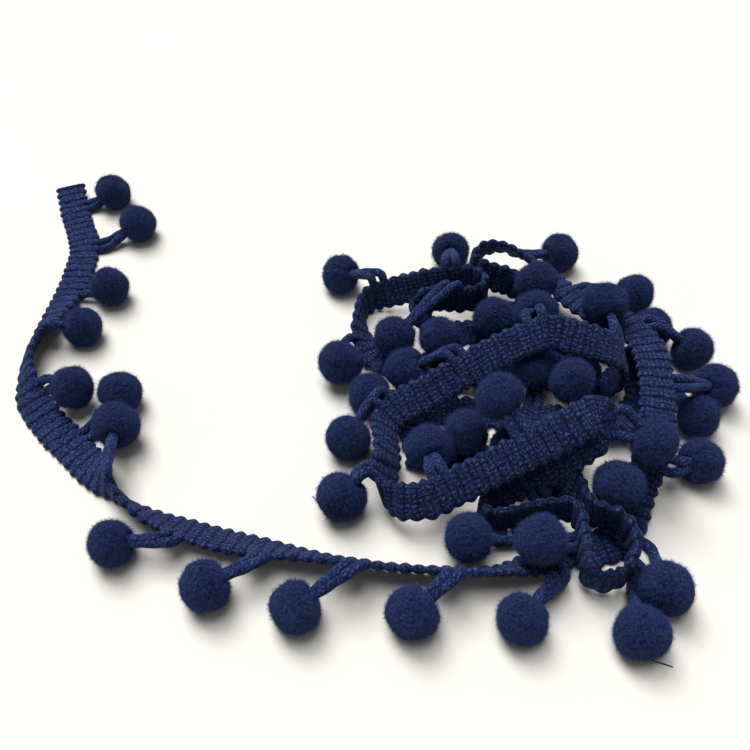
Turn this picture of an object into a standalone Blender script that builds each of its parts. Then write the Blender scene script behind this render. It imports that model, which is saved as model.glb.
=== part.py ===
"""Pompom fringe trim: one length of ribbed braid tape, lying in a loose heap with its tail laid out.

The tape stands, folds and curls over itself on a flat surface. Felted balls hang from one of its edges,
each on a loop of two cords. Lengths in the tables are millimetres; the model is in metres, +Z up.
"""

import bmesh
import bpy
import numpy as np

for obj in list(bpy.data.objects):
    bpy.data.objects.remove(obj)

MM = 0.001

# The braid: thick ribs run across it, so its edges are scalloped and its faces are ridged.
RIB_PITCH = 3.2
RIB_WIDTH = 10.2
RIB_THICKNESS = 2.3
VALLEY_WIDTH = 9.2
VALLEY_THICKNESS = 1.6

# The balls, one at every seventh rib.
RIBS_PER_BALL = 7
FIRST_BALL_AT = 11.6
BALL_DIAMETER = 12.4
BALL_SQUASH = 0.3
CORD_DIAMETER = 1.7
CORD_STRAIGHT = 1.4
CORD_SUNK = 2.2
CORD_SHORTEST = 3.6
CORD_LONGEST = 17.0
GAP = 0.35
BALL_CLEARANCE = 0.4

# How the balls ease to their places: a share of the way back to where each was seen, for part of the rounds.
PULL = 0.12
PULLED_ROUNDS = 0.7
SELF_DISTANCE = 1e6

# How a cord bends: how far its two ends hold their direction, the room that it needs to leave the braid's
# edge straight, the dip at which that edge is buried, and the smoothing in the first rounds.
HELD_AT_ROOT = 0.4
HELD_AT_BALL = 0.3
ROOM_TO_LEAVE = 1.9
BURIED_DIP = -0.3
SMOOTHING = 0.2
SMOOTHED_ROUNDS = 0.3

# The lines along the tape that stand for its surface, across most of its width.
SURFACE_LINES = 11
SURFACE_SHARE = 0.45

# What lies on the ground: how far the tape settles, what is pressed flat under it and under a ball.
SETTLE = 0.6
REST_DEPTH = 0.45
FLAT_SPOT_DEPTH = 0.8
WELD = 0.00001

# The middle of the whole heap, which is put on the frame's origin.
MIDDLE = (-21.9, 17.7)

# The tape's middle line from the tail's cut end to its hidden end. Each row is a place on it, then the
# way its ball edge faces: a bearing in degrees from +X, and a rise over the level.
# x, y, z, bearing, rise
ROUTE = [
    # The tail's end lies flat, then turns on edge for a moment.
    (-124, 104, 3.6, 0, 0),
    (-121, 95, 2.2, 0, 0),
    (-117, 85, 1.6, 0, 0),
    (-112.5, 74, 1.6, 0, 0),
    (-111.5, 64, 1.6, 0, 0),
    (-111.5, 54, 1.9, 0, 5),
    (-112.5, 43, 2.8, 0, 15),
    (-114, 34, 3.9, 0, 35),
    (-115, 25.5, 5.2, 0, 60),
    (-115, 18, 5.4, 5, 60),
    (-113.5, 11, 4.6, 20, 48),
    (-110, 4.5, 2.6, 40, 16),
    (-104.5, -2, 1.7, 48, 4),
    (-98, -8.5, 1.7, 49, 0),
    (-91.5, -15, 2.3, 48, 10),
    (-86.5, -20.5, 4.4, 48, 40),
    # It turns over on its edge and runs along the front, its ball edge held up by the balls.
    (-81.5, -26, 5.8, 55, 85),
    (-76.5, -30.5, 5.8, 62, 112),
    (-70, -34, 4.9, 68, 133),
    (-61.5, -37, 4.0, 73, 148),
    (-51.5, -40, 3.8, 75, 150),
    (-42, -42.3, 4.2, 77, 144),
    (-33, -44.4, 5.0, 79, 131),
    (-22.5, -46.5, 5.5, 82, 121),
    (-9.5, -48.2, 5.5, 85, 120),
    (2.5, -49, 5.5, 88, 120),
    (14, -48.8, 5.2, 92, 126),
    (23.5, -45.8, 3.5, 98, 151),
    (31.5, -41.2, 1.7, 102, 174),
    (38.5, -40.6, 1.6, 105, 180),
    # It passes under the ring at the front and climbs the right side, its balls outwards.
    (44.5, -38.5, 1.9, 135, 184),
    (47.5, -34, 2.8, 155, 190),
    (49.5, -29.5, 4.0, 165, 190),
    (51.5, -25, 6.2, 168, 186),
    (54, -21, 9.0, 172, 184),
    (56, -17, 11.7, 176, 184),
    (57.5, -9.5, 14.0, 180, 182),
    (59, -0.5, 15.5, 185, 180),
    (60, 11.5, 15.2, 195, 180),
    (58.5, 21.5, 13.5, 215, 180),
    (54, 29, 11.8, 235, 180),
    (47.5, 34.5, 10.8, 238, 180),
    (42, 41, 10.8, 238, 184),
    (37, 48.5, 12.2, 248, 200),
    # The thin arch at the top, seen on its edge, and the pocket that it curls into.
    (30, 54.8, 14.2, 262, 222),
    (23.5, 57, 15.2, 270, 235),
    (17.5, 56, 14.6, 285, 250),
    (14.8, 52.2, 13.0, 360, 262),
    (17.3, 49, 12.0, 440, 262),
    (22, 47.6, 10.8, 450, 258),
    (26.5, 46.8, 9.2, 450, 258),
    # It dives under itself and comes back along the ground.
    (30, 43.8, 7.2, 400, 275),
    (29.8, 39.4, 5.6, 350, 300),
    (25, 36, 3.4, 290, 335),
    (16.5, 34, 1.7, 272, 358),
    (7.5, 33, 1.9, 268, 362),
    (1, 34, 3.8, 225, 380),
    (-1.5, 37, 7.2, 180, 420),
    # The crown: an upright wall, a tight corner, and a second wall behind it.
    (1.5, 38.8, 10.2, 120, 442),
    (6.5, 37.4, 11.4, 92, 448),
    (11.5, 36.6, 12.0, 85, 450),
    (16, 37.8, 12.9, 130, 450),
    (17.3, 41.2, 13.4, 180, 450),
    (14.5, 44.2, 13.3, 245, 455),
    (8.5, 44.8, 12.4, 270, 462),
    (2, 45, 11.0, 272, 470),
    (-4, 45.4, 8.8, 272, 474),
    (-10, 45.5, 6.8, 275, 474),
    (-15.5, 44.5, 5.8, 300, 466),
    (-18.8, 41, 5.5, 340, 458),
    (-19.6, 35, 5.2, 360, 468),
    (-18.6, 28.5, 4.2, 372, 500),
    (-16, 23.5, 2.4, 400, 530),
    # A run along the ground, which turns over half way.
    (-10, 19.8, 1.7, 440, 540),
    (-2, 19, 1.9, 450, 540),
    (5, 19.8, 3.0, 450, 525),
    (14, 21.3, 5.4, 450, 480),
    (23, 20.5, 5.4, 445, 430),
    (32, 16.5, 3.0, 440, 385),
    (40, 13, 1.8, 440, 362),
    (46, 11.5, 2.0, 445, 360),
    (51, 10.5, 4.6, 450, 360),
    (53, 10, 10.5, 450, 364),
    (51, 10.2, 16.2, 450, 378),
    # The upper run going left, its face to the front, its balls behind it.
    (46, 10.3, 19.6, 450, 394),
    (39, 11.3, 21.3, 450, 400),
    (31.5, 13.2, 21.9, 452, 402),
    (25.8, 12.6, 19.6, 456, 398),
    (19.5, 11.2, 17.0, 460, 396),
    (13, 8.8, 14.6, 460, 398),
    (7.5, 6.2, 12.8, 462, 400),
    (2, 3.2, 11.2, 466, 400),
    (-3, 0.9, 9.6, 475, 396),
    (-8.6, -1.8, 8.2, 500, 388),
    (-12, -5.4, 7.4, 525, 395),
    (-12.6, -10, 7.4, 540, 405),
    (-12.2, -14, 8.2, 545, 408),
    (-12.2, -18.5, 8.6, 545, 405),
    (-13, -23.2, 7.4, 535, 405),
    # The fold at the left, and the front band, which climbs to the right.
    (-13.2, -28.4, 7.6, 500, 430),
    (-9.2, -32.6, 9.8, 455, 414),
    (-3, -33.2, 11.2, 462, 404),
    (5, -30.6, 13.6, 467, 400),
    (14.8, -27, 17.0, 468, 400),
    (24.3, -23.6, 20.6, 468, 400),
    (32.5, -20.6, 24.0, 468, 400),
    (36.6, -18.6, 25.4, 447, 384),
    # The hairpin at its right end, and the band beneath it going left with its balls below.
    (39.2, -17.4, 24.2, 397, 360),
    (39.1, -18.9, 20.8, 345, 335),
    (37, -21.1, 18.6, 305, 322),
    (34.6, -22.4, 17.4, 284, 312),
    (28.5, -25, 14.0, 280, 308),
    (20.5, -27.6, 11.0, 278, 300),
    (15.4, -29.4, 7.8, 276, 290),
    (12, -31, 5.7, 275, 278),
    (11, -33, 5.7, 275, 270),
    (12.8, -35.2, 5.8, 275, 270),
    # The ring at the front right, standing on its ball edge over the tail.
    (17, -35.4, 6.4, 275, 270),
    (22, -34.8, 7.6, 275, 270),
    (28, -34.4, 8.8, 275, 270),
    (32.2, -35.2, 9.7, 275, 270),
    (33.6, -38.6, 9.9, 275, 270),
    (33.4, -43.5, 9.9, 275, 270),
    (33.4, -48.8, 9.3, 275, 270),
    (35.6, -51.8, 7.0, 275, 270),
    (39.4, -52, 6.7, 275, 270),
    (42.8, -50.2, 7.7, 275, 270),
    (44.8, -46.4, 9.6, 270, 270),
    (44.6, -42, 10.3, 250, 270),
    (42.2, -38.4, 10.2, 230, 270),
    (38.6, -36.2, 9.4, 210, 270),
    # Its hidden end, flat on the ground: a loop under the bands, then the right side and round the back.
    (36, -31.6, 7.4, 190, 276),
    (34.6, -26.6, 5.6, 185, 298),
    (30.5, -20.8, 3.2, 200, 335),
    (24.5, -16.4, 1.8, 230, 355),
    (16, -14.6, 1.7, 265, 360),
    (7, -14.2, 1.7, 262, 360),
    (-1, -12.6, 1.7, 245, 360),
    (-3.2, -8.4, 1.7, 205, 360),
    (-3.4, -2.8, 1.7, 160, 360),
    (-0.6, 1.4, 1.7, 115, 360),
    (7, 2.4, 1.7, 95, 360),
    (15, 2, 1.7, 85, 360),
    (23, -0.2, 1.7, 78, 360),
    (30.5, -2.6, 3.2, 80, 382),
    (38, -4.8, 5.4, 92, 450),
    (46.5, -4.6, 3.4, 112, 512),
    (54.6, -0.4, 1.7, 145, 537),
    (60.4, 8, 1.7, 172, 540),
    (59.6, 18, 1.7, 195, 540),
    (53.6, 26, 1.7, 225, 540),
    (45, 30, 1.7, 250, 540),
    (36.6, 29, 1.7, 270, 540),
]

# Where each ball lies, in the order of the roots from the tail's end.
# x, y, z
BALLS = [
    # The tail's, all on the ground.
    (-107, 98, 5.9),
    (-95, 80, 5.9),
    (-97.5, 48.5, 5.9),
    (-104.5, 30.5, 5.9),
    (-99.5, 5.5, 5.9),
    (-86.5, 3.5, 5.9),
    (-85, -8, 5.9),
    (-78, -42, 5.9),
    (-54, -53, 5.9),
    (-33, -58.5, 5.9),
    (-7, -60, 5.9),
    (17.5, -61, 5.9),
    # The right side, from the front to the back.
    (51, -54, 5.9),
    (67.5, -18.5, 5.9),
    (79, 7, 5.9),
    (76.5, 22, 5.9),
    (64.5, 45, 5.9),
    (44.5, 64.5, 5.9),
    # Round the pocket and the crown.
    (19.5, 31.5, 9),
    (33.5, 38.5, 14.5),
    (2.5, 21.5, 10.4),
    (-9, 22.5, 9),
    (9.5, 66, 5.9),
    (-26, 54.5, 5.9),
    (-21.5, 16, 5.9),
    (9.5, 11.5, 7.8),
    (38.5, 9.5, 9),
    (40, 21.5, 9),
    # On the upper run and the front band.
    (49.5, 26.5, 19),
    (30.5, 27, 17),
    (-9.5, 10.5, 7),
    (-22, -10.5, 5.9),
    (-23.5, -29, 5.9),
    (-1.5, -19.5, 12.5),
    (15.5, -13.5, 25),
    (49, -19, 18),
    # Under the bands and round the ring.
    (32, -13.5, 9.8),
    (3.5, -41.5, 5.9),
    (22.5, -46.5, 10.5),
    (43.5, -64, 5.9),
    (42.5, -28, 5.9),
    # The hidden end's.
    (19.5, -17.5, 9),
    (8.5, -12, 9.8),
    (-21, 3.5, 5.9),
    (29, 7.5, 9),
    (36.5, 0, 9),
    (72, -3, 5.9),
    (67, 30, 5.9),
]


def smooth_route(rows, steps=24):
    """A centripetal Catmull-Rom curve through the rows, every column with it."""
    rows = np.array(rows, float)
    rows = np.vstack([2 * rows[0] - rows[1], rows, 2 * rows[-1] - rows[-2]])
    stretches = []
    for i in range(1, len(rows) - 2):
        four = rows[i - 1 : i + 3]
        knots = np.r_[0, np.cumsum(np.linalg.norm(np.diff(four[:, :3], axis=0), axis=1) ** 0.5)]
        at = np.linspace(knots[1], knots[2], steps, endpoint=False)[:, None]

        def blend(first, second, low, high):
            return ((high - at) * first + (at - low) * second) / (high - low)

        a = [blend(four[k], four[k + 1], knots[k], knots[k + 1]) for k in range(3)]
        b = [blend(a[k], a[k + 1], knots[k], knots[k + 2]) for k in range(2)]
        stretches.append(blend(b[0], b[1], knots[1], knots[2]))
    return np.vstack(stretches + [rows[-2:-1]])


def stations(rows, step):
    """Points a step apart along the tape, with its unit directions: along, to the ball edge, and out."""
    path = smooth_route(rows)
    run = np.r_[0, np.cumsum(np.linalg.norm(np.diff(path[:, :3], axis=0), axis=1))]
    at = np.arange(int(run[-1] / step) + 1) * step
    place = np.stack([np.interp(at, run, path[:, k]) for k in range(5)], axis=1)
    middle = place[:, :3]
    along = np.gradient(middle, axis=0)
    along /= np.linalg.norm(along, axis=1)[:, None]
    bearing, rise = np.radians(place[:, 3]), np.radians(place[:, 4])
    edge = np.stack([np.cos(bearing) * np.cos(rise), np.sin(bearing) * np.cos(rise), np.sin(rise)], axis=1)
    edge -= along * (edge * along).sum(axis=1)[:, None]
    edge /= np.linalg.norm(edge, axis=1)[:, None]
    return at, middle, along, edge, np.cross(along, edge)


def push_out(points, others, least):
    """The points, each moved off whichever of the others is nearest until it is the least distance away."""
    gaps = points[:, None] - others[None]
    far = np.linalg.norm(gaps, axis=2)
    near = far.argmin(axis=1)
    rows = np.arange(len(points))
    short = np.maximum(least - far[rows, near], 0)
    return points + gaps[rows, near] / np.maximum(far[rows, near], 1e-6)[:, None] * short[:, None]


def ease_balls(wanted, roots, surface, rounds=600):
    """The balls' places, eased off the tape, off each other and off the ground, within reach of their roots."""
    radius = BALL_DIAMETER / 2
    balls = wanted.copy()
    for turn in range(rounds):
        pull = PULL if turn < rounds * PULLED_ROUNDS else 0
        balls += (wanted - balls) * pull
        gaps = balls[:, None] - balls[None]
        far = np.linalg.norm(gaps, axis=2) + SELF_DISTANCE * np.eye(len(balls))
        short = np.maximum(2 * radius + BALL_CLEARANCE - far, 0)
        balls += (gaps / far[:, :, None] * short[:, :, None]).sum(axis=1) / 2
        reach = balls - roots
        length = np.linalg.norm(reach, axis=1)
        held = np.clip(length, radius + CORD_SHORTEST, radius + CORD_LONGEST)
        balls = roots + reach * (held / length)[:, None]
        balls = push_out(balls, surface, radius + RIB_THICKNESS / 2 + BALL_CLEARANCE)
        balls[:, 2] = np.maximum(balls[:, 2], radius - BALL_SQUASH)
    return balls


def cord_lines(starts, edges, outs, balls, surface, rounds=90):
    """Seven points down each cord: off a rib's end, clear of tape, balls and ground, and into its own ball."""
    radius = BALL_DIAMETER / 2
    clear = radius + CORD_DIAMETER / 2 + 2 * GAP
    own = np.repeat(np.arange(len(balls)), 2)
    centres = balls[own]
    first = starts + edges * GAP
    # Where the edge is close to the ground or to more tape the cord leaves sideways, on its ball's side.
    ahead = first + edges * CORD_STRAIGHT
    room = np.linalg.norm(ahead[:, None] - surface[None], axis=2).min(axis=1)
    buried = (ahead[:, 2] < CORD_DIAMETER / 2) & (edges[:, 2] < BURIED_DIP)
    blocked = buried | (room < ROOM_TO_LEAVE)
    side = np.sign(((centres - starts) * outs).sum(axis=1))[:, None]
    leaving = np.where(blocked[:, None], outs * side, edges)
    beside = starts + leaving * ((RIB_THICKNESS + CORD_DIAMETER) / 2 + GAP)
    first = np.where(blocked[:, None], beside, first)
    first[:, 2] = np.maximum(first[:, 2], CORD_DIAMETER / 2)
    second = first + leaving * CORD_STRAIGHT
    toward = second - centres
    toward /= np.linalg.norm(toward, axis=1)[:, None]
    last = centres + toward * (radius - CORD_SUNK)
    sixth = centres + toward * (radius + CORD_DIAMETER / 2)
    reach = np.linalg.norm(sixth - second, axis=1)[:, None]
    bend = second + leaving * reach * HELD_AT_ROOT
    lift = sixth + toward * reach * HELD_AT_BALL
    between = [
        second * (1 - t) ** 3 + bend * 3 * t * (1 - t) ** 2 + lift * 3 * t**2 * (1 - t) + sixth * t**3
        for t in (0.25, 0.5, 0.75)
    ]
    lines = np.stack([first, second, *between, sixth, last], axis=1)
    for turn in range(rounds):
        if turn < rounds * SMOOTHED_ROUNDS:
            lines[:, 2:5] += SMOOTHING * ((lines[:, 1:4] + lines[:, 3:6]) / 2 - lines[:, 2:5])
        for k in (2, 3, 4, 5):
            lines[:, k] = push_out(lines[:, k], surface, (RIB_THICKNESS + CORD_DIAMETER) / 2 + GAP)
            for i in range(len(balls)):
                others = own != i
                lines[others, k] = push_out(lines[others, k], balls[i : i + 1], clear)
        lines[:, :, 2] = np.maximum(lines[:, :, 2], CORD_DIAMETER / 2)
    return lines


at, middle, along, edge, out = stations(ROUTE, RIB_PITCH / 2)
middle[:, 2] -= SETTLE
lines_across = np.linspace(-SURFACE_SHARE, SURFACE_SHARE, SURFACE_LINES) * RIB_WIDTH
surface = np.concatenate([middle + edge * across for across in lines_across])
root_of = [round((FIRST_BALL_AT + k * RIBS_PER_BALL * RIB_PITCH) / (RIB_PITCH / 2)) for k in range(len(BALLS))]
roots = middle[root_of] + edge[root_of] * RIB_WIDTH / 2
balls = ease_balls(np.array(BALLS, float), roots, surface)
rib_of = np.array([[k - 1, k + 1] for k in root_of]).ravel()
rib_ends = middle[rib_of] + edge[rib_of] * RIB_WIDTH / 2
cords = cord_lines(rib_ends, edge[rib_of], out[rib_of], balls, surface)

# The shapes in Blender.
trim = bpy.data.collections.new("pompom_fringe_trim")
bpy.context.scene.collection.children.link(trim)
shift = np.array([MIDDLE[0], MIDDLE[1], 0.0])

navy = bpy.data.materials.new("navy_yarn")
navy.use_nodes = True
yarn = navy.node_tree.nodes["Principled BSDF"]
yarn.inputs["Base Color"].default_value = (0.02, 0.035, 0.12, 1)
yarn.inputs["Roughness"].default_value = 0.9


def add_mesh(name, points, faces):
    """A mesh object from points in millimetres."""
    mesh = bpy.data.meshes.new(name)
    mesh.from_pydata((np.array(points) * MM).tolist(), [], faces)
    mesh.materials.append(navy)
    obj = bpy.data.objects.new(name, mesh)
    trim.objects.link(obj)
    return obj


def add_tape(name):
    """The braid as one loft, a wide thick section at each rib and a narrow thin one between, flat underneath."""
    is_rib = np.arange(len(at)) % 2 == 0
    half_width = np.where(is_rib, RIB_WIDTH, VALLEY_WIDTH)[:, None] / 2
    half_depth = np.where(is_rib, RIB_THICKNESS, VALLEY_THICKNESS)[:, None] / 2
    corners = [(1, 1), (1, -1), (-1, -1), (-1, 1)]
    ring = [middle + edge * half_width * u + out * half_depth * v - shift for u, v in corners]
    points = np.stack(ring, axis=1)
    points[:, :, 2] = np.where(points[:, :, 2] < REST_DEPTH, 0, points[:, :, 2])
    faces = [(3, 2, 1, 0)]
    for i in range(len(at) - 1):
        low, high = 4 * i, 4 * i + 4
        for k in range(4):
            after = (k + 1) % 4
            faces.append((low + k, low + after, high + after, high + k))
    end = 4 * (len(at) - 1)
    faces.append((end, end + 1, end + 2, end + 3))
    tape = add_mesh(name, points.reshape(-1, 3), faces)
    shape = bmesh.new()
    shape.from_mesh(tape.data)
    bmesh.ops.recalc_face_normals(shape, faces=shape.faces)
    shape.to_mesh(tape.data)
    shape.free()
    return tape


def add_cord(name, line):
    """One cord, a bevelled curve through its points, closed and kept out of the render as a helper."""
    curve = bpy.data.curves.new(name, "CURVE")
    curve.dimensions = "3D"
    curve.bevel_depth = CORD_DIAMETER / 2 * MM
    curve.bevel_resolution = 0
    curve.use_fill_caps = True
    spline = curve.splines.new("POLY")
    spline.points.add(len(line) - 1)
    for point, place in zip(spline.points, (line - shift) * MM):
        point.co = (*place, 1)
    guide = bpy.data.objects.new(name + "_line", curve)
    solid = bpy.data.objects.new(name, bpy.data.meshes.new_from_object(guide))
    bpy.data.objects.remove(guide)
    shape = bmesh.new()
    shape.from_mesh(solid.data)
    bmesh.ops.remove_doubles(shape, verts=shape.verts, dist=WELD)
    bmesh.ops.recalc_face_normals(shape, faces=shape.faces)
    shape.to_mesh(solid.data)
    shape.free()
    solid.hide_render = True
    trim.objects.link(solid)
    return solid


def add_pompom(name, centre, pair):
    """A ball with a small flat spot where it lies, and the two cords of its loop joined on."""
    shape = bmesh.new()
    bmesh.ops.create_icosphere(shape, subdivisions=2, radius=BALL_DIAMETER / 2)
    for vertex in shape.verts:
        place = np.array(vertex.co) + centre - shift
        if place[2] < FLAT_SPOT_DEPTH:
            place[2] = 0
        vertex.co = place * MM
    mesh = bpy.data.meshes.new(name)
    shape.to_mesh(mesh)
    shape.free()
    mesh.materials.append(navy)
    ball = bpy.data.objects.new(name, mesh)
    trim.objects.link(ball)
    for side, line in zip("ab", pair):
        join = ball.modifiers.new("cord_" + side, "BOOLEAN")
        join.operation = "UNION"
        join.solver = "EXACT"
        join.object = add_cord(f"{name}_cord_{side}", line)
    return ball


add_tape("tape")
for k, centre in enumerate(balls):
    add_pompom(f"pompom_{k + 1:02d}", centre, cords[2 * k : 2 * k + 2])
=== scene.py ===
"""A navy pompom fringe trim on a pale table: ribbed braid, felted balls and the cord loops between them."""

import math

import bmesh
import bpy
import numpy as np
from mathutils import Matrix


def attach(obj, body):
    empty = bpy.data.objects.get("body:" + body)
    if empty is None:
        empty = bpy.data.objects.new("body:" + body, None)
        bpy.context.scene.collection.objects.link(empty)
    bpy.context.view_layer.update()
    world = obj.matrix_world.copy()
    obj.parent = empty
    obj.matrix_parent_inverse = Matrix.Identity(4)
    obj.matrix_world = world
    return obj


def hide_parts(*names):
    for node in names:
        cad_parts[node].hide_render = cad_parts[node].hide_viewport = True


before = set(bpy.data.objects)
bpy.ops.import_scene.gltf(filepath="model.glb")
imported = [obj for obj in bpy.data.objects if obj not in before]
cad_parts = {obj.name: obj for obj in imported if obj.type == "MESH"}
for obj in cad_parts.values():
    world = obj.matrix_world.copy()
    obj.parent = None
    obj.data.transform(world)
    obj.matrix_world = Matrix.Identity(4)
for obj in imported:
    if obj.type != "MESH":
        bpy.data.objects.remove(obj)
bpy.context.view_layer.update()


# Camera. It looks down at the heap over its front edge, as someone at a table would, close enough that
# the near balls look larger than the far ones. Its place is in metres from the heap's middle.
CAMERA_PLACE = (0.0067, -0.1621, 0.179)
CAMERA_DIP = 48
CAMERA_LENS = 39.84
camera = bpy.data.objects.new("camera", bpy.data.cameras.new("camera"))
camera.data.lens = CAMERA_LENS
camera.data.clip_start = 0.01
camera.location = CAMERA_PLACE
camera.rotation_euler = (math.radians(90 - CAMERA_DIP), 0, 0)
bpy.context.scene.collection.objects.link(camera)
bpy.context.scene.camera = camera


# Braid tape. One cotton-like strip, woven of thick weft yarns that make its ribs and scalloped edges,
# bound by fine lengthwise stitches that cut each rib into small knots. It carries all of the fringe.
# Sizes are in millimetres from here on, except where a comment says metres.
MM = 0.001
RIB_PITCH = 3.2
RIB_WIDTH = 10.2
RIB_THICKNESS = 2.3
# How far the whole route is let down onto the table, and the place on it that is the part's origin.
SETTLE = 0.6
SHIFT = np.array([-21.9, 17.7, 0.0])

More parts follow.
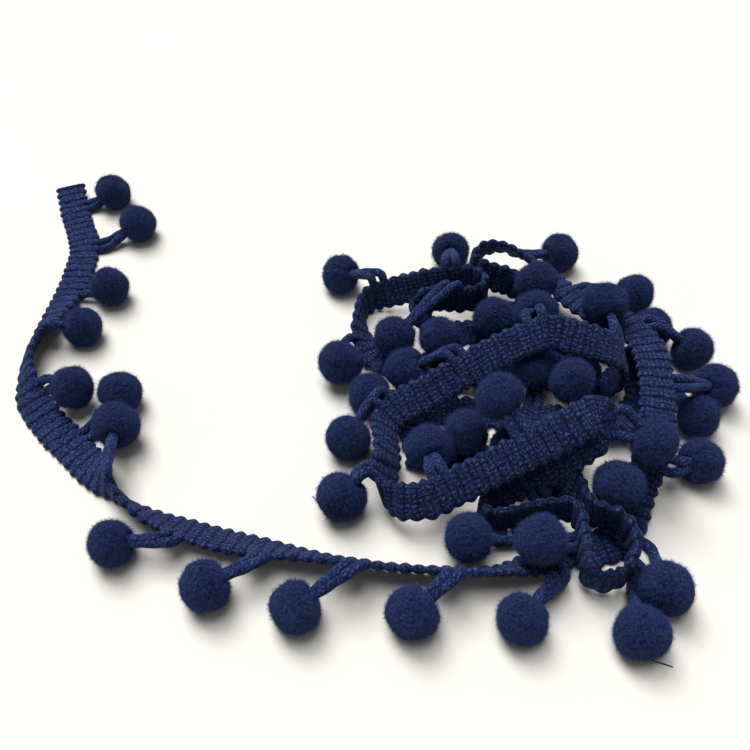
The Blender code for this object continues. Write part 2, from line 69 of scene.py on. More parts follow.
# The tape's middle line from the tail's cut end to its hidden end. Each row is a place on it, then the
# way its ball edge faces: a bearing in degrees from +X, and a rise over the level.
# x, y, z, bearing, rise
ROUTE = [
    # The tail's end lies flat, then turns on edge for a moment.
    (-124, 104, 3.6, 0, 0),
    (-121, 95, 2.2, 0, 0),
    (-117, 85, 1.6, 0, 0),
    (-112.5, 74, 1.6, 0, 0),
    (-111.5, 64, 1.6, 0, 0),
    (-111.5, 54, 1.9, 0, 5),
    (-112.5, 43, 2.8, 0, 15),
    (-114, 34, 3.9, 0, 35),
    (-115, 25.5, 5.2, 0, 60),
    (-115, 18, 5.4, 5, 60),
    (-113.5, 11, 4.6, 20, 48),
    (-110, 4.5, 2.6, 40, 16),
    (-104.5, -2, 1.7, 48, 4),
    (-98, -8.5, 1.7, 49, 0),
    (-91.5, -15, 2.3, 48, 10),
    (-86.5, -20.5, 4.4, 48, 40),
    # It turns over on its edge and runs along the front, its ball edge held up by the balls.
    (-81.5, -26, 5.8, 55, 85),
    (-76.5, -30.5, 5.8, 62, 112),
    (-70, -34, 4.9, 68, 133),
    (-61.5, -37, 4.0, 73, 148),
    (-51.5, -40, 3.8, 75, 150),
    (-42, -42.3, 4.2, 77, 144),
    (-33, -44.4, 5.0, 79, 131),
    (-22.5, -46.5, 5.5, 82, 121),
    (-9.5, -48.2, 5.5, 85, 120),
    (2.5, -49, 5.5, 88, 120),
    (14, -48.8, 5.2, 92, 126),
    (23.5, -45.8, 3.5, 98, 151),
    (31.5, -41.2, 1.7, 102, 174),
    (38.5, -40.6, 1.6, 105, 180),
    # It passes under the ring at the front and climbs the right side, its balls outwards.
    (44.5, -38.5, 1.9, 135, 184),
    (47.5, -34, 2.8, 155, 190),
    (49.5, -29.5, 4.0, 165, 190),
    (51.5, -25, 6.2, 168, 186),
    (54, -21, 9.0, 172, 184),
    (56, -17, 11.7, 176, 184),
    (57.5, -9.5, 14.0, 180, 182),
    (59, -0.5, 15.5, 185, 180),
    (60, 11.5, 15.2, 195, 180),
    (58.5, 21.5, 13.5, 215, 180),
    (54, 29, 11.8, 235, 180),
    (47.5, 34.5, 10.8, 238, 180),
    (42, 41, 10.8, 238, 184),
    (37, 48.5, 12.2, 248, 200),
    # The thin arch at the top, seen on its edge, and the pocket that it curls into.
    (30, 54.8, 14.2, 262, 222),
    (23.5, 57, 15.2, 270, 235),
    (17.5, 56, 14.6, 285, 250),
    (14.8, 52.2, 13.0, 360, 262),
    (17.3, 49, 12.0, 440, 262),
    (22, 47.6, 10.8, 450, 258),
    (26.5, 46.8, 9.2, 450, 258),
    # It dives under itself and comes back along the ground.
    (30, 43.8, 7.2, 400, 275),
    (29.8, 39.4, 5.6, 350, 300),
    (25, 36, 3.4, 290, 335),
    (16.5, 34, 1.7, 272, 358),
    (7.5, 33, 1.9, 268, 362),
    (1, 34, 3.8, 225, 380),
    (-1.5, 37, 7.2, 180, 420),
    # The crown: an upright wall, a tight corner, and a second wall behind it.
    (1.5, 38.8, 10.2, 120, 442),
    (6.5, 37.4, 11.4, 92, 448),
    (11.5, 36.6, 12.0, 85, 450),
    (16, 37.8, 12.9, 130, 450),
    (17.3, 41.2, 13.4, 180, 450),
    (14.5, 44.2, 13.3, 245, 455),
    (8.5, 44.8, 12.4, 270, 462),
    (2, 45, 11.0, 272, 470),
    (-4, 45.4, 8.8, 272, 474),
    (-10, 45.5, 6.8, 275, 474),
    (-15.5, 44.5, 5.8, 300, 466),
    (-18.8, 41, 5.5, 340, 458),
    (-19.6, 35, 5.2, 360, 468),
    (-18.6, 28.5, 4.2, 372, 500),
    (-16, 23.5, 2.4, 400, 530),
    # A run along the ground, which turns over half way.
    (-10, 19.8, 1.7, 440, 540),
    (-2, 19, 1.9, 450, 540),
    (5, 19.8, 3.0, 450, 525),
    (14, 21.3, 5.4, 450, 480),
    (23, 20.5, 5.4, 445, 430),
    (32, 16.5, 3.0, 440, 385),
    (40, 13, 1.8, 440, 362),
    (46, 11.5, 2.0, 445, 360),
    (51, 10.5, 4.6, 450, 360),
    (53, 10, 10.5, 450, 364),
    (51, 10.2, 16.2, 450, 378),
    # The upper run going left, its face to the front, its balls behind it.
    (46, 10.3, 19.6, 450, 394),
    (39, 11.3, 21.3, 450, 400),
    (31.5, 13.2, 21.9, 452, 402),
    (25.8, 12.6, 19.6, 456, 398),
    (19.5, 11.2, 17.0, 460, 396),
    (13, 8.8, 14.6, 460, 398),
    (7.5, 6.2, 12.8, 462, 400),
    (2, 3.2, 11.2, 466, 400),
    (-3, 0.9, 9.6, 475, 396),
    (-8.6, -1.8, 8.2, 500, 388),
    (-12, -5.4, 7.4, 525, 395),
    (-12.6, -10, 7.4, 540, 405),
    (-12.2, -14, 8.2, 545, 408),
    (-12.2, -18.5, 8.6, 545, 405),
    (-13, -23.2, 7.4, 535, 405),
    # The fold at the left, and the front band, which climbs to the right.
    (-13.2, -28.4, 7.6, 500, 430),
    (-9.2, -32.6, 9.8, 455, 414),
    (-3, -33.2, 11.2, 462, 404),
    (5, -30.6, 13.6, 467, 400),
    (14.8, -27, 17.0, 468, 400),
    (24.3, -23.6, 20.6, 468, 400),
    (32.5, -20.6, 24.0, 468, 400),
    (36.6, -18.6, 25.4, 447, 384),
    # The hairpin at its right end, and the band beneath it going left with its balls below.
    (39.2, -17.4, 24.2, 397, 360),
    (39.1, -18.9, 20.8, 345, 335),
    (37, -21.1, 18.6, 305, 322),
    (34.6, -22.4, 17.4, 284, 312),
    (28.5, -25, 14.0, 280, 308),
    (20.5, -27.6, 11.0, 278, 300),
    (15.4, -29.4, 7.8, 276, 290),
    (12, -31, 5.7, 275, 278),
    (11, -33, 5.7, 275, 270),
    (12.8, -35.2, 5.8, 275, 270),
    # The ring at the front right, standing on its ball edge over the tail.
    (17, -35.4, 6.4, 275, 270),
    (22, -34.8, 7.6, 275, 270),
    (28, -34.4, 8.8, 275, 270),
    (32.2, -35.2, 9.7, 275, 270),
    (33.6, -38.6, 9.9, 275, 270),
    (33.4, -43.5, 9.9, 275, 270),
    (33.4, -48.8, 9.3, 275, 270),
    (35.6, -51.8, 7.0, 275, 270),
    (39.4, -52, 6.7, 275, 270),
    (42.8, -50.2, 7.7, 275, 270),
    (44.8, -46.4, 9.6, 270, 270),
    (44.6, -42, 10.3, 250, 270),
    (42.2, -38.4, 10.2, 230, 270),
    (38.6, -36.2, 9.4, 210, 270),
    # Its hidden end, flat on the ground: a loop under the bands, then the right side and round the back.
    (36, -31.6, 7.4, 190, 276),
    (34.6, -26.6, 5.6, 185, 298),
    (30.5, -20.8, 3.2, 200, 335),
    (24.5, -16.4, 1.8, 230, 355),
    (16, -14.6, 1.7, 265, 360),
    (7, -14.2, 1.7, 262, 360),
    (-1, -12.6, 1.7, 245, 360),
    (-3.2, -8.4, 1.7, 205, 360),
    (-3.4, -2.8, 1.7, 160, 360),
    (-0.6, 1.4, 1.7, 115, 360),
    (7, 2.4, 1.7, 95, 360),
    (15, 2, 1.7, 85, 360),
    (23, -0.2, 1.7, 78, 360),
    (30.5, -2.6, 3.2, 80, 382),
    (38, -4.8, 5.4, 92, 450),
    (46.5, -4.6, 3.4, 112, 512),
    (54.6, -0.4, 1.7, 145, 537),
    (60.4, 8, 1.7, 172, 540),
    (59.6, 18, 1.7, 195, 540),
    (53.6, 26, 1.7, 225, 540),
    (45, 30, 1.7, 250, 540),
    (36.6, 29, 1.7, 270, 540),
]


def smooth_route(rows, steps=24):
    """A centripetal Catmull-Rom curve through the rows, every column with it."""
    rows = np.array(rows, float)
    rows = np.vstack([2 * rows[0] - rows[1], rows, 2 * rows[-1] - rows[-2]])
    stretches = []
    for i in range(1, len(rows) - 2):
        four = rows[i - 1 : i + 3]
        knots = np.r_[0, np.cumsum(np.linalg.norm(np.diff(four[:, :3], axis=0), axis=1) ** 0.5)]
        at = np.linspace(knots[1], knots[2], steps, endpoint=False)[:, None]

        def blend(first, second, low, high):
            return ((high - at) * first + (at - low) * second) / (high - low)

        a = [blend(four[k], four[k + 1], knots[k], knots[k + 1]) for k in range(3)]
        b = [blend(a[k], a[k + 1], knots[k], knots[k + 2]) for k in range(2)]
        stretches.append(blend(b[0], b[1], knots[1], knots[2]))
    return np.vstack(stretches + [rows[-2:-1]])


def stations(rows, step):
    """Points a step apart along the tape, with its unit directions: along, to the ball edge, and out."""
    path = smooth_route(rows)
    run = np.r_[0, np.cumsum(np.linalg.norm(np.diff(path[:, :3], axis=0), axis=1))]
    at = np.arange(int(run[-1] / step) + 1) * step
    place = np.stack([np.interp(at, run, path[:, k]) for k in range(5)], axis=1)
    middle = place[:, :3]
    along = np.gradient(middle, axis=0)
    along /= np.linalg.norm(along, axis=1)[:, None]
    bearing, rise = np.radians(place[:, 3]), np.radians(place[:, 4])
    edge = np.stack([np.cos(bearing) * np.cos(rise), np.sin(bearing) * np.cos(rise), np.sin(rise)], axis=1)
    edge -= along * (edge * along).sum(axis=1)[:, None]
    edge /= np.linalg.norm(edge, axis=1)[:, None]
    return at, middle, along, edge, np.cross(along, edge)


# How finely the tape is cut, and the shape of its ribs: the thin core and narrow waist between them, how
# far they stand out from it, how much they vary, and how sharp their crests and how round the edges are.
STEPS_PER_RIB = 6
FACE_POINTS = 25
STITCH_LANES = 8
KNOTS_PER_RIB = 2
HALF_CORE = 0.72
RIB_HEIGHT = 0.52
HALF_NARROW = 4.35
SCALLOP = 0.80
FULLNESS_VARIES = 0.10
SCALLOP_VARIES = 0.16
FACE_VARIES = 0.05
RIB_SHARPNESS = 1.3
EDGE_ROUNDNESS = 6
NEAR_FLOOR = 0.02
TAPE_SEED = 7
chance = np.random.default_rng(TAPE_SEED)
at, middle, along, edge, out = stations(ROUTE, RIB_PITCH / STEPS_PER_RIB)
middle[:, 2] -= SETTLE
ribs = int(at[-1] / RIB_PITCH) + 2
rib_now = at / RIB_PITCH
rib_index = np.round(rib_now).astype(int)
fullness = 1 + FULLNESS_VARIES * chance.standard_normal(ribs)[rib_index]
reach = 1 + SCALLOP_VARIES * chance.standard_normal(ribs)[rib_index]
sway = FACE_VARIES * chance.standard_normal((ribs, FACE_POINTS))[rib_index]
swell = np.abs(np.cos(np.pi * rib_now)) ** RIB_SHARPNESS
across = np.linspace(-1, 1, FACE_POINTS)
rim = np.sqrt(np.maximum(1 - np.abs(across) ** EDGE_ROUNDNESS, 0))
ridge = (swell * fullness)[:, None] * (1 + sway)
half_width = (HALF_NARROW + SCALLOP * swell * reach)[:, None] * across[None]
thick = (HALF_CORE + RIB_HEIGHT * ridge) * rim


def on_tape(side):
    """Points over one face, from one edge to the other."""
    rise = out[:, None] * (thick * side)[:, :, None]
    return middle[:, None] + edge[:, None] * half_width[:, :, None] + rise - SHIFT


rings = np.concatenate([on_tape(1), on_tape(-1)[:, ::-1][:, 1:-1]], axis=1)
rings[:, :, 2] = np.maximum(rings[:, :, 2], NEAR_FLOOR)
sides = rings.shape[1]


def tube_faces(count, around, first=0):
    """Quads round a run of rings that all have the same number of points."""
    low = first + np.arange(count - 1)[:, None] * around
    here = np.arange(around)[None]
    after = (here + 1) % around
    corners = [low + here, low + after, low + around + after, low + around + here]
    return np.stack(corners, axis=2).reshape(-1, 4).tolist()


def add_piece(name, points, faces, material):
    """A smooth mesh piece from points in millimetres, riding on the trim's one body."""
    mesh = bpy.data.meshes.new(name)
    mesh.from_pydata((points * MM).tolist(), [], faces)
    mesh.materials.append(material)
    mesh.polygons.foreach_set("use_smooth", [True] * len(mesh.polygons))
    piece = bpy.data.objects.new(name, mesh)
    bpy.context.scene.collection.objects.link(piece)
    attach(piece, "root")
    return piece


def add_uv(piece, name, u, v):
    """A UV map from one value of u and one of v for each vertex."""
    layer = piece.data.uv_layers.new(name=name)
    corners = np.empty(len(piece.data.loops), int)
    piece.data.loops.foreach_get("vertex_index", corners)
    layer.data.foreach_set("uv", np.stack([u[corners], v[corners]], axis=1).ravel())


class Value:
    """A shader socket that adds and multiplies with numbers and with other sockets."""

    def __init__(self, tree, socket):
        self.tree = tree
        self.socket = socket

    def other(self, output):
        """Another output of the same node."""
        return Value(self.tree, self.socket.node.outputs[output])

    def joined(self, operation, first, second):
        """The result of one Math node."""
        maths = self.tree.nodes.new("ShaderNodeMath")
        maths.operation = operation
        for slot, item in zip(maths.inputs, (first, second)):
            if isinstance(item, Value):
                self.tree.links.new(item.socket, slot)
            else:
                slot.default_value = item
        return Value(self.tree, maths.outputs[0])

    def __add__(self, other):
        return self.joined("ADD", self, other)

    def __radd__(self, other):
        return self.joined("ADD", other, self)

    def __sub__(self, other):
        return self.joined("SUBTRACT", self, other)

    def __rsub__(self, other):
        return self.joined("SUBTRACT", other, self)

    def __mul__(self, other):
        return self.joined("MULTIPLY", self, other)

    def __rmul__(self, other):
        return self.joined("MULTIPLY", other, self)


class Shader:
    """A material's node tree, with one method that adds any node."""

    def __init__(self, name):
        self.material = bpy.data.materials.new(name)
        self.material.use_nodes = True
        self.tree = self.material.node_tree
        self.surface = self.tree.nodes["Principled BSDF"]

    def add(self, kind, settings=None, output=0, **inputs):
        """A node of this kind; an input is named in lower case with _ for a space, and the first is meant."""
        made = self.tree.nodes.new(kind)
        for key, item in (settings or {}).items():
            setattr(made, key, item)
        named = {slot.name.lower().replace(" ", "_"): slot for slot in reversed(made.inputs)}
        for key, item in inputs.items():
            self.feed(named[key], item)
        return Value(self.tree, made.outputs[output])

    def feed(self, slot, item):
        """Links a value to a socket, or sets the socket to a number or a colour."""
        if isinstance(item, Value):
            self.tree.links.new(item.socket, slot)
        else:
            slot.default_value = item

    def mix(self, share, first, second):
        """A colour between two colours, from the sockets that a Mix node keeps for colours."""
        made = self.tree.nodes.new("ShaderNodeMix")
        made.data_type = "RGBA"
        self.feed(made.inputs[0], share)
        self.feed(made.inputs[6], first)
        self.feed(made.inputs[7], second)
        return Value(self.tree, made.outputs[2])

    def set(self, **inputs):
        """The surface's own sockets, each named with _ for a space."""
        for key, item in inputs.items():
            self.feed(self.surface.inputs[key.replace("_", " ")], item)


# The navy, from a painted shade at the bottom of a groove, which is also the felt's darkest tone, to light
# flecks that are partly a painted highlight on crests, and the faint blue sheen of its fibres.
NAVY_GROOVE_SHADE_AND_DARK_FELT = (0.0018, 0.0046, 0.0205, 1)
NAVY_DEEP = (0.0044, 0.0100, 0.0390, 1)
NAVY = (0.0138, 0.0288, 0.1030, 1)
NAVY_FLECK_AND_HIGHLIGHT = (0.060, 0.104, 0.300, 1)
SHEEN_BLUE = (0.25, 0.38, 0.9, 1)


def wool(shader, fibre_scale, patch_scale):
    """Fine fibres and slow patches, as two noises in the object's own space."""
    place = shader.add("ShaderNodeTexCoord", output="Object")
    fibres = shader.add("ShaderNodeTexNoise", vector=place, scale=fibre_scale, detail=4.0, roughness=0.7)
    patches = shader.add("ShaderNodeTexNoise", vector=place, scale=patch_scale, detail=2.0, roughness=0.5)
    return fibres, patches


def finish_wool(shader, colour, height, depth):
    """The surface of matt wool from its colour and its relief."""
    bump = shader.add("ShaderNodeBump", height=height, strength=1.0, distance=depth)
    shader.set(Base_Color=colour, Normal=bump, Roughness=0.9, Sheen_Weight=0.15, Sheen_Roughness=0.4)
    shader.set(Sheen_Tint=SHEEN_BLUE, Specular_IOR_Level=0.11)


def wave(shader, value, low, high):
    """A run of rounded bumps, with a narrow groove at each whole number."""
    turned = shader.add("ShaderNodeMath", {"operation": "SINE"}, value=value * math.pi)
    bumps = shader.add("ShaderNodeMath", {"operation": "ABSOLUTE"}, value=turned)
    soft = {"interpolation_type": "SMOOTHSTEP"}
    return shader.add("ShaderNodeMapRange", soft, value=bumps, from_min=low, from_max=high)


def over_uv(shader, name):
    """The u of a UV map, with its v as the second output."""
    place = shader.add("ShaderNodeUVMap", {"uv_map": name})
    return shader.add("ShaderNodeSeparateXYZ", vector=place)


def yarn_colour(shader, fibres, patches, relief):
    """Navy that is painted with shade in the grooves and with a faint highlight on the crests."""
    tone = fibres * 0.6 + patches * 0.4
    share = shader.add("ShaderNodeMapRange", value=tone, from_min=0.37, from_max=0.62)
    # The flecks lean towards the crests of the relief, a painted highlight; elsewhere they are random fibre
    # tone.
    flecks = shader.add("ShaderNodeMapRange", value=fibres + relief * 0.12, from_min=0.60, from_max=0.80)
    crest = shader.mix(flecks, shader.mix(share, NAVY_DEEP, NAVY), NAVY_FLECK_AND_HIGHLIGHT)
    # The grooves take the darkest navy, a painted shade.
    return shader.mix(relief, NAVY_GROOVE_SHADE_AND_DARK_FELT, crest)


# The noise scales of fibres and patches, how far each pushes the stitches about, and relief in metres.
YARN_FIBRES = 1700.0
YARN_PATCHES = 420.0
STITCH_WANDER = 0.9
FIBRE_WANDER = 0.5
KNOT_RELIEF = 0.0006
braid = Shader("braid_yarn")
fibres, patches = wool(braid, YARN_FIBRES, YARN_PATCHES)
weave = over_uv(braid, "weave")
stitched = over_uv(braid, "stitched")
wander = (patches - 0.5) * STITCH_WANDER + (fibres - 0.5) * FIBRE_WANDER
knots_along = wave(braid, weave + wander, low=-0.3, high=0.72)
knots_across = wave(braid, weave.other(1) - wander, low=-0.3, high=0.75)
knots = knots_along * (1 - stitched * (1 - knots_across))
# The gaps between the knots are painted with shade, and the knots' tops with a faint highlight.
finish_wool(braid, yarn_colour(braid, fibres, patches, knots), knots * 0.7 + fibres * 0.7, KNOT_RELIEF)

tape_faces = tube_faces(len(rings), sides)
tape_faces.append(list(range(sides)))
tape_faces.append(list(range(len(rings) * sides - 1, (len(rings) - 1) * sides - 1, -1)))
tape = add_piece("braid_tape", rings.reshape(-1, 3), tape_faces, braid.material)
over_face = np.concatenate([across, across[::-1][1:-1]])
lane_of = np.tile((over_face + 1) / 2 * STITCH_LANES, len(rings))
knot_of = np.repeat(rib_now * KNOTS_PER_RIB + 0.5, sides)
add_uv(tape, "weave", knot_of, lane_of)
# The stitches show fully on one face. On the other they sink in, so that the ribs look like smooth bars
# there. The faces change places at the fold at the left, where the tape is taken to twist out of sight.
PLAIN_FACE_STITCHES = 0.3
LEFT_FOLD = (-13.2, -28.4, 7.0)
fold_at = np.linalg.norm(middle - LEFT_FOLD, axis=1).argmin()
past_fold = np.arange(len(at)) > fold_at
on_second = np.arange(sides) >= FACE_POINTS
stitches_on = np.where(past_fold[:, None] != on_second[None], 1.0, PLAIN_FACE_STITCHES).ravel()
add_uv(tape, "stitched", stitches_on, stitches_on)
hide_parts("tape")


# Balls. Wound yarn, tied through the middle, trimmed and felted until the pile is dense, so each is
# slightly uneven, flat where it lies and dented where its cords go in, with a short fuzz all over.
# The felt is a little smaller than the whole ball, and its hairs are thin triangles that lean off it.
BALL_DIAMETER = 12.4
BALL_RADIUS = BALL_DIAMETER / 2
BALL_SHARE = 0.955
BALL_VARIES = 0.035
FUZZ_HAIRS = 7400
FUZZ_LENGTH = (0.35, 1.20)
FUZZ_HALF_WIDTH = 0.035
FUZZ_LEAN = 0.75
FUZZ_SHORTNESS = 1.5
FUZZ_ROOT = 0.1
FUZZ_SCATTER = 0.12
FUZZ_LEAST = 0.15
DENT_DEPTH = 1.3
DENT_WIDTH = 1.9
PULLED_FLAT = 0.05
FELT_FIBRES = 2600.0
FELT_CLUMPS = 1100.0
FELT_RELIEF = 0.0009  # metres
felt = Shader("ball_felt")
fibres, clumps = wool(felt, FELT_FIBRES, FELT_CLUMPS)
tone = fibres * 0.55 + clumps * 0.45
share = felt.add("ShaderNodeMapRange", value=tone, from_min=0.40, from_max=0.58)
flecks = felt.add("ShaderNodeMapRange", value=fibres, from_min=0.53, from_max=0.70, to_max=0.6)
felt_colour = felt.mix(flecks, felt.mix(share, NAVY_GROOVE_SHADE_AND_DARK_FELT, NAVY), NAVY_FLECK_AND_HIGHLIGHT)
finish_wool(felt, felt_colour, fibres * 0.8 + clumps * 1.4, FELT_RELIEF)
FUZZ_COLOUR = (0.026, 0.053, 0.180, 1)
fuzz = Shader("ball_fuzz")
fuzz.set(Base_Color=FUZZ_COLOUR, Roughness=0.9, Specular_IOR_Level=0.15)


# In square millimetres, between the facets of the cords and those of the ball. Facets down on the floor
# are left out too, because they are cut flat.
BALL_FACET_AREA = 3
OFF_THE_FLOOR = 0.05


def ball_centre(node):
    """The middle of the ball in one solid, in the part's own millimetres, from its facets' corners."""
    mesh = node.data
    mesh.calc_loop_triangles()
    points = np.array([vertex.co for vertex in mesh.vertices]) / MM
    corners = points[np.array([triangle.vertices for triangle in mesh.loop_triangles])]
    doubled = np.cross(corners[:, 1] - corners[:, 0], corners[:, 2] - corners[:, 0])
    area = np.linalg.norm(doubled, axis=1) / 2
    on_ball = corners[area > BALL_FACET_AREA].reshape(-1, 3)
    on_ball = on_ball[on_ball[:, 2] > OFF_THE_FLOOR]
    table = np.c_[2 * on_ball, np.ones(len(on_ball))]
    solved = np.linalg.lstsq(table, (on_ball**2).sum(axis=1), rcond=None)[0]
    return solved[:3]


ball_names = sorted(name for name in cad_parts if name.startswith("pompom_"))
centres = np.array([ball_centre(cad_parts[name]) for name in ball_names]) + SHIFT

globe = bmesh.new()
bmesh.ops.create_icosphere(globe, subdivisions=5, radius=1)
globe_points = np.array([vertex.co for vertex in globe.verts])
globe_faces = [tuple(vertex.index for vertex in face.verts) for face in globe.faces]
globe.free()


# How high the waves are, as a share of the radius, and how close together.
PILE_WAVES = ((0.021, 1.6), (0.012, 3.6), (0.005, 9.0), (0.004, 17.0))
WAVES_OF_EACH = 4


def uneven(directions, seed):
    """A few slow random waves over a ball, as the pile is never trimmed quite evenly."""
    waves = np.random.default_rng(seed)
    total = np.zeros(len(directions))
    for size, pitch in PILE_WAVES:
        for _ in range(WAVES_OF_EACH):
            slope = waves.standard_normal(3) * pitch
            total += size * np.cos(directions @ slope + waves.uniform(0, 2 * np.pi))
    return total


FUZZ_SEED = 500


def add_ball(name, centre, entries, seed):
    """One felted ball with its dents and its fuzz, in place of its plain solid."""
    hairs = np.random.default_rng(seed + FUZZ_SEED)
    size = BALL_SHARE + BALL_VARIES * hairs.uniform(-1, 1)
    if centre[2] < BALL_RADIUS:
        centre = centre * (1, 1, size)
    axis = entries.mean(axis=0) - centre
    axis /= np.linalg.norm(axis)
    swell_by = 1 + uneven(globe_points, seed) - PULLED_FLAT * (globe_points @ axis) ** 2
    points = globe_points * (BALL_RADIUS * size * swell_by)[:, None] + centre
    for entry in entries:
        toward = (entry - centre) / np.linalg.norm(entry - centre)
        off = np.arccos(np.clip(globe_points @ toward, -1, 1)) * BALL_RADIUS
        points -= toward * (DENT_DEPTH * np.exp(-((off / DENT_WIDTH) ** 2)))[:, None]
    chosen = hairs.integers(0, len(points), FUZZ_HAIRS)
    outward = globe_points[chosen]
    lean = outward + FUZZ_LEAN * hairs.standard_normal((FUZZ_HAIRS, 3))
    lean /= np.linalg.norm(lean, axis=1)[:, None]
    beside = np.cross(lean, hairs.standard_normal((FUZZ_HAIRS, 3)))
    beside /= np.linalg.norm(beside, axis=1)[:, None]
    length = hairs.uniform(*FUZZ_LENGTH, FUZZ_HAIRS)[:, None] ** FUZZ_SHORTNESS
    base = points[chosen] - outward * FUZZ_ROOT + FUZZ_SCATTER * hairs.standard_normal((FUZZ_HAIRS, 3))
    tips = base + lean * (length + FUZZ_LEAST)
    half = beside * FUZZ_HALF_WIDTH
    hair_points = np.stack([base - half, base + half, tips], axis=1).reshape(-1, 3)
    every = np.concatenate([points, hair_points])
    hair_faces = [tuple(len(points) + 3 * k + j for j in range(3)) for k in range(FUZZ_HAIRS)]
    every[:, 2] = np.maximum(every[:, 2], NEAR_FLOOR)
    ball = add_piece(name + "_felt", every - SHIFT, globe_faces + hair_faces, felt.material)
    ball.data.materials.append(fuzz.material)
    slots = [0] * len(globe_faces) + [1] * len(hair_faces)
    ball.data.polygons.foreach_set("material_index", slots)
    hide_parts(name)
    return ball


# Cord loops. A soft thick yarn of three plies leaves the braid as one of its ribs, goes into the ball
# beside its twin and is tied there. Its start is hidden inside the rib that it runs on from.

# How far apart the loops are, and how a cord runs, as in the part: straight off its rib, in a curve and
# into the ball, a gap away from all that it passes.
RIBS_PER_BALL = 7
FIRST_BALL_AT = 11.6
CORD_DIAMETER = 1.7
CORD_STRAIGHT = 1.4
CORD_SUNK = 2.2
GAP = 0.35
HELD_AT_ROOT = 0.4
HELD_AT_BALL = 0.3
ROOM_TO_LEAVE = 1.9
BURIED_DIP = -0.3
SMOOTHING = 0.2
SMOOTHED_ROUNDS = 0.3
SURFACE_LINES = 11
SURFACE_SHARE = 0.45


def push_out(points, others, least):
    """The points, each moved off whichever of the others is nearest until it is the least distance away."""
    gaps = points[:, None] - others[None]
    far = np.linalg.norm(gaps, axis=2)
    near = far.argmin(axis=1)
    rows = np.arange(len(points))
    short = np.maximum(least - far[rows, near], 0)
    return points + gaps[rows, near] / np.maximum(far[rows, near], 1e-6)[:, None] * short[:, None]


def cord_lines(starts, edges, outs, balls, surface, rounds=90):
    """Seven points down each cord, from a rib's end into its own ball, clear of tape, balls and ground."""
    clear = BALL_RADIUS + CORD_DIAMETER / 2 + 2 * GAP
    own = np.repeat(np.arange(len(balls)), 2)
    centres = balls[own]
    first = starts + edges * GAP
    # Where the edge is close to the ground or to more tape the cord leaves sideways, on its ball's side.
    ahead = first + edges * CORD_STRAIGHT
    room = np.linalg.norm(ahead[:, None] - surface[None], axis=2).min(axis=1)
    buried = (ahead[:, 2] < CORD_DIAMETER / 2) & (edges[:, 2] < BURIED_DIP)
    blocked = buried | (room < ROOM_TO_LEAVE)
    side = np.sign(((centres - starts) * outs).sum(axis=1))[:, None]
    leaving = np.where(blocked[:, None], outs * side, edges)
    beside = starts + leaving * ((RIB_THICKNESS + CORD_DIAMETER) / 2 + GAP)
    first = np.where(blocked[:, None], beside, first)
    first[:, 2] = np.maximum(first[:, 2], CORD_DIAMETER / 2)
    second = first + leaving * CORD_STRAIGHT
    toward = second - centres
    toward /= np.linalg.norm(toward, axis=1)[:, None]
    last = centres + toward * (BALL_RADIUS - CORD_SUNK)
    sixth = centres + toward * (BALL_RADIUS + CORD_DIAMETER / 2)
    reach = np.linalg.norm(sixth - second, axis=1)[:, None]
    bend = second + leaving * reach * HELD_AT_ROOT
    lift = sixth + toward * reach * HELD_AT_BALL
    between = [
        second * (1 - t) ** 3 + bend * 3 * t * (1 - t) ** 2 + lift * 3 * t**2 * (1 - t) + sixth * t**3
        for t in (0.25, 0.5, 0.75)
    ]
    lines = np.stack([first, second, *between, sixth, last], axis=1)
    for turn in range(rounds):
        if turn < rounds * SMOOTHED_ROUNDS:
            lines[:, 2:5] += SMOOTHING * ((lines[:, 1:4] + lines[:, 3:6]) / 2 - lines[:, 2:5])
        for k in (2, 3, 4, 5):
            lines[:, k] = push_out(lines[:, k], surface, (RIB_THICKNESS + CORD_DIAMETER) / 2 + GAP)
            for i in range(len(balls)):
                others = own != i
                lines[others, k] = push_out(lines[others, k], balls[i : i + 1], clear)
        lines[:, :, 2] = np.maximum(lines[:, :, 2], CORD_DIAMETER / 2)
    return lines


half_ribs = STEPS_PER_RIB // 2
near_middle, near_edge, near_out = middle[::half_ribs], edge[::half_ribs], out[::half_ribs]
lines_across = np.linspace(-SURFACE_SHARE, SURFACE_SHARE, SURFACE_LINES) * RIB_WIDTH
surface = np.concatenate([near_middle + near_edge * place for place in lines_across])
# Roots are counted in half ribs. The two cords of a ball leave the ribs on either side of its root.
half_pitch = RIB_PITCH / 2
root_of = [round((FIRST_BALL_AT + k * RIBS_PER_BALL * RIB_PITCH) / half_pitch) for k in range(len(centres))]
rib_of = np.array([[k - 1, k + 1] for k in root_of]).ravel()
rib_ends = near_middle[rib_of] + near_edge[rib_of] * RIB_WIDTH / 2
cords = cord_lines(rib_ends, near_edge[rib_of], near_out[rib_of], centres, surface)

CORD_RADIUS = 1.3
CORD_RINGS_EVERY = 0.35
CORD_AROUND = 12
PLIES = 3
PLY_TURN = 5.0
PLY_DEPTH = 0.07
CORNER_ROUNDS = 48
PLY_LENGTH = 1.5
PLY_WANDER = 1.3
PLY_RELIEF = 0.0005  # metres
HIDDEN_START = 2.2
HIDDEN_END = 0.6
PRESSED = 0.92
cord_yarn = Shader("cord_yarn")
fibres, patches = wool(cord_yarn, YARN_FIBRES, YARN_PATCHES)
strand = over_uv(cord_yarn, "weave")
wander = (patches - 0.5) * PLY_WANDER + (fibres - 0.5) * FIBRE_WANDER
plies = wave(cord_yarn, strand + strand.other(1) + wander, low=-0.25, high=0.6)
# The gaps between the plies are painted with shade, and their tops with a faint highlight.
ply_colour = yarn_colour(cord_yarn, fibres, patches, plies)
finish_wool(cord_yarn, ply_colour, plies * 0.5 + fibres * 0.7, PLY_RELIEF)


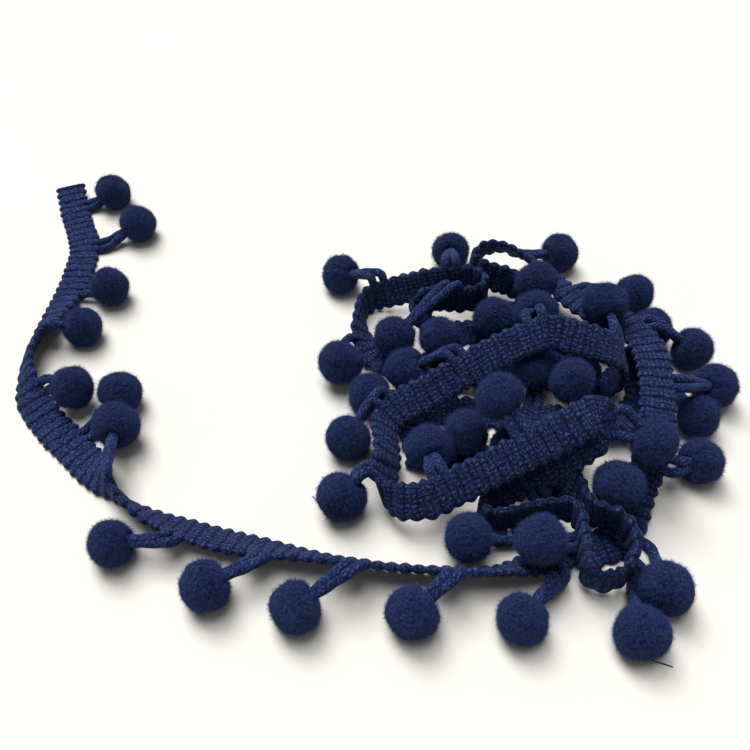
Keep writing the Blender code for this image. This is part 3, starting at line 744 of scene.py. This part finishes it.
def even_curve(points, spacing):
    """A smooth curve through the points, with its places evenly spaced."""
    path = smooth_route([(*point, 0, 0) for point in points], steps=12)[:, :3]
    run = np.r_[0, np.cumsum(np.linalg.norm(np.diff(path, axis=0), axis=1))]
    places = np.linspace(0, run[-1], int(run[-1] / spacing) + 2)
    even = np.stack([np.interp(places, run, path[:, k]) for k in range(3)], axis=1)
    for _ in range(CORNER_ROUNDS):
        even[1:-1] += ((even[:-2] + even[2:]) / 2 - even[1:-1]) * 0.5
    return places, even


# A direction that no cord starts along.
ANY_SIDE = (0.3, 0.5, 0.8)


def twisted_tube(points, radius):
    """Rings of points round a curve, fluted like twisted yarn."""
    places, path = even_curve(points, CORD_RINGS_EVERY)
    ahead = np.gradient(path, axis=0)
    ahead /= np.linalg.norm(ahead, axis=1)[:, None]
    normal = np.cross(ahead[0], ANY_SIDE)
    angle = np.linspace(0, 2 * np.pi, CORD_AROUND, endpoint=False)
    rings = []
    for place, point, direction in zip(places, path, ahead):
        normal = normal - direction * (normal @ direction)
        normal /= np.linalg.norm(normal)
        other = np.cross(direction, normal)
        size = radius * (1 + PLY_DEPTH * np.cos(PLIES * angle + 2 * np.pi * place / PLY_TURN))
        circle = np.cos(angle)[:, None] * normal + np.sin(angle)[:, None] * other
        rings.append(point + size[:, None] * circle)
    return np.array(rings)


# Stray ends. Two thin ends of the loops' yarn came loose and lie out on the table, each from under its
# ball. Each is made in one piece with that ball's loop, as it is the same yarn.
STRAY_ENDS = {
    "pompom_40": [(43.4, -67.0, 2.2), (45.4, -68.6, 0.6), (48.6, -69.1, 0.3), (50.4, -69.9, 0.2)],
    "pompom_33": [(-26.0, -30.0, 1.6), (-28.4, -28.0, 0.5), (-30.0, -26.7, 0.3), (-31.3, -25.6, 0.9)],
}
STRAY_RADIUS = 0.13


def add_loop(name, pair, ends, edges):
    """The two cords of one ball, as one piece with its stray end if it has one."""
    tubes = []
    for line, end, direction in zip(pair, ends, edges):
        way = np.concatenate([[end - direction * HIDDEN_START, end - direction * HIDDEN_END], line])
        way[:, 2] = np.maximum(way[:, 2], CORD_RADIUS * PRESSED)
        tubes.append(twisted_tube(way, CORD_RADIUS))
    if name in STRAY_ENDS:
        tubes.append(twisted_tube(STRAY_ENDS[name], STRAY_RADIUS))
    points = np.zeros((0, 3))
    faces = []
    strands = np.zeros((0, 2))
    for tube in tubes:
        start = len(points)
        last = start + (len(tube) - 1) * CORD_AROUND
        faces += tube_faces(len(tube), CORD_AROUND, start)
        faces.append([start + k for k in range(CORD_AROUND)])
        faces.append([last + k for k in reversed(range(CORD_AROUND))])
        points = np.concatenate([points, tube.reshape(-1, 3)])
        ring_of, turn_of = np.divmod(np.arange(len(tube) * CORD_AROUND), CORD_AROUND)
        down_cord = ring_of * CORD_RINGS_EVERY / PLY_LENGTH
        round_cord = np.abs(turn_of - CORD_AROUND / 2) / 2
        strands = np.concatenate([strands, np.stack([down_cord, round_cord], axis=1)])
    points[:, 2] = np.maximum(points[:, 2], NEAR_FLOOR)
    loop = add_piece(name + "_loop", points - SHIFT, faces, cord_yarn.material)
    add_uv(loop, "weave", *strands.T)
    return loop


FIRST_SEED = 3
SEED_STEP = 11
for k, name in enumerate(ball_names):
    pair = cords[2 * k : 2 * k + 2]
    add_ball(name, centres[k], pair[:, -2], FIRST_SEED + SEED_STEP * k)
    ends = rib_ends[2 * k : 2 * k + 2]
    add_loop(name, pair, ends, near_edge[rib_of[2 * k : 2 * k + 2]])


# Table. A plain warm white surface, lit so evenly that it shows no tone of its own but the soft grey
# shadows round the trim. It is only the stage that the trim lies on.
table_shader = Shader("table_white")
table_place = table_shader.add("ShaderNodeTexCoord", output="Object")
mottle = table_shader.add("ShaderNodeTexNoise", vector=table_place, scale=18.0, detail=3.0, roughness=0.6)
TABLE_DULL = (0.75, 0.735, 0.695, 1)
TABLE_BRIGHT = (0.78, 0.765, 0.725, 1)
table_colour = table_shader.mix(mottle, TABLE_DULL, TABLE_BRIGHT)
table_shader.set(Base_Color=table_colour, Roughness=0.75, Specular_IOR_Level=0.2)
TABLE_HALF = 12.0  # metres, so that its edge is never seen
table_mesh = bpy.data.meshes.new("table")
table_corners = [(-TABLE_HALF, -TABLE_HALF, 0), (TABLE_HALF, -TABLE_HALF, 0)]
table_corners += [(TABLE_HALF, TABLE_HALF, 0), (-TABLE_HALF, TABLE_HALF, 0)]
table_mesh.from_pydata(table_corners, [], [(0, 1, 2, 3)])
table_mesh.materials.append(table_shader.material)
table = bpy.data.objects.new("table", table_mesh)
bpy.context.scene.collection.objects.link(table)


# Light. A wide soft window behind and to the left, a second light overhead and a dim room all round, so
# that the shadows are pale and soft away from the places where the trim touches the table.
def add_light(name, direction, spread, strength, colour):
    """A soft even light that shines from a direction, as wide as its spread in degrees."""
    lamp = bpy.data.lights.new(name, "SUN")
    lamp.angle = math.radians(spread)
    lamp.energy = strength
    lamp.color = colour
    light = bpy.data.objects.new(name, lamp)
    sideways, backward, upward = direction
    tilt = math.atan2(math.hypot(sideways, backward), upward)
    light.rotation_euler = (tilt, 0, math.atan2(sideways, -backward))
    bpy.context.scene.collection.objects.link(light)


WINDOW_COLOUR = (1.0, 0.985, 0.96)
CEILING_COLOUR = (1.0, 0.99, 0.97)
add_light("window", direction=(-0.35, 0.6, 0.95), spread=34, strength=2.7, colour=WINDOW_COLOUR)
add_light("ceiling", direction=(-0.1, 0.15, 1.3), spread=36, strength=1.75, colour=CEILING_COLOUR)
# The room is dim overhead, and pale low down, like walls of the table's own colour.
ROOM_COLOUR = (1.0, 0.985, 0.96, 1)
ROOM_STRENGTH = 0.15
WALL_STRENGTH = 0.9
WALL_FOOT = 0.0
WALL_TOP = 0.35
world = bpy.data.worlds.new("room")
world.use_nodes = True
room = world.node_tree
glow = room.nodes["Background"]
glow.inputs["Color"].default_value = ROOM_COLOUR
place = room.nodes.new("ShaderNodeTexCoord")
height = room.nodes.new("ShaderNodeSeparateXYZ")
fade = room.nodes.new("ShaderNodeMapRange")
fade.interpolation_type = "SMOOTHSTEP"
fade.inputs["From Min"].default_value = WALL_FOOT
fade.inputs["From Max"].default_value = WALL_TOP
fade.inputs["To Min"].default_value = WALL_STRENGTH
fade.inputs["To Max"].default_value = ROOM_STRENGTH
room.links.new(place.outputs["Generated"], height.inputs[0])
room.links.new(height.outputs["Z"], fade.inputs["Value"])
room.links.new(fade.outputs["Result"], glow.inputs["Strength"])
bpy.context.scene.world = world
bpy.context.scene.view_settings.view_transform = "Standard"
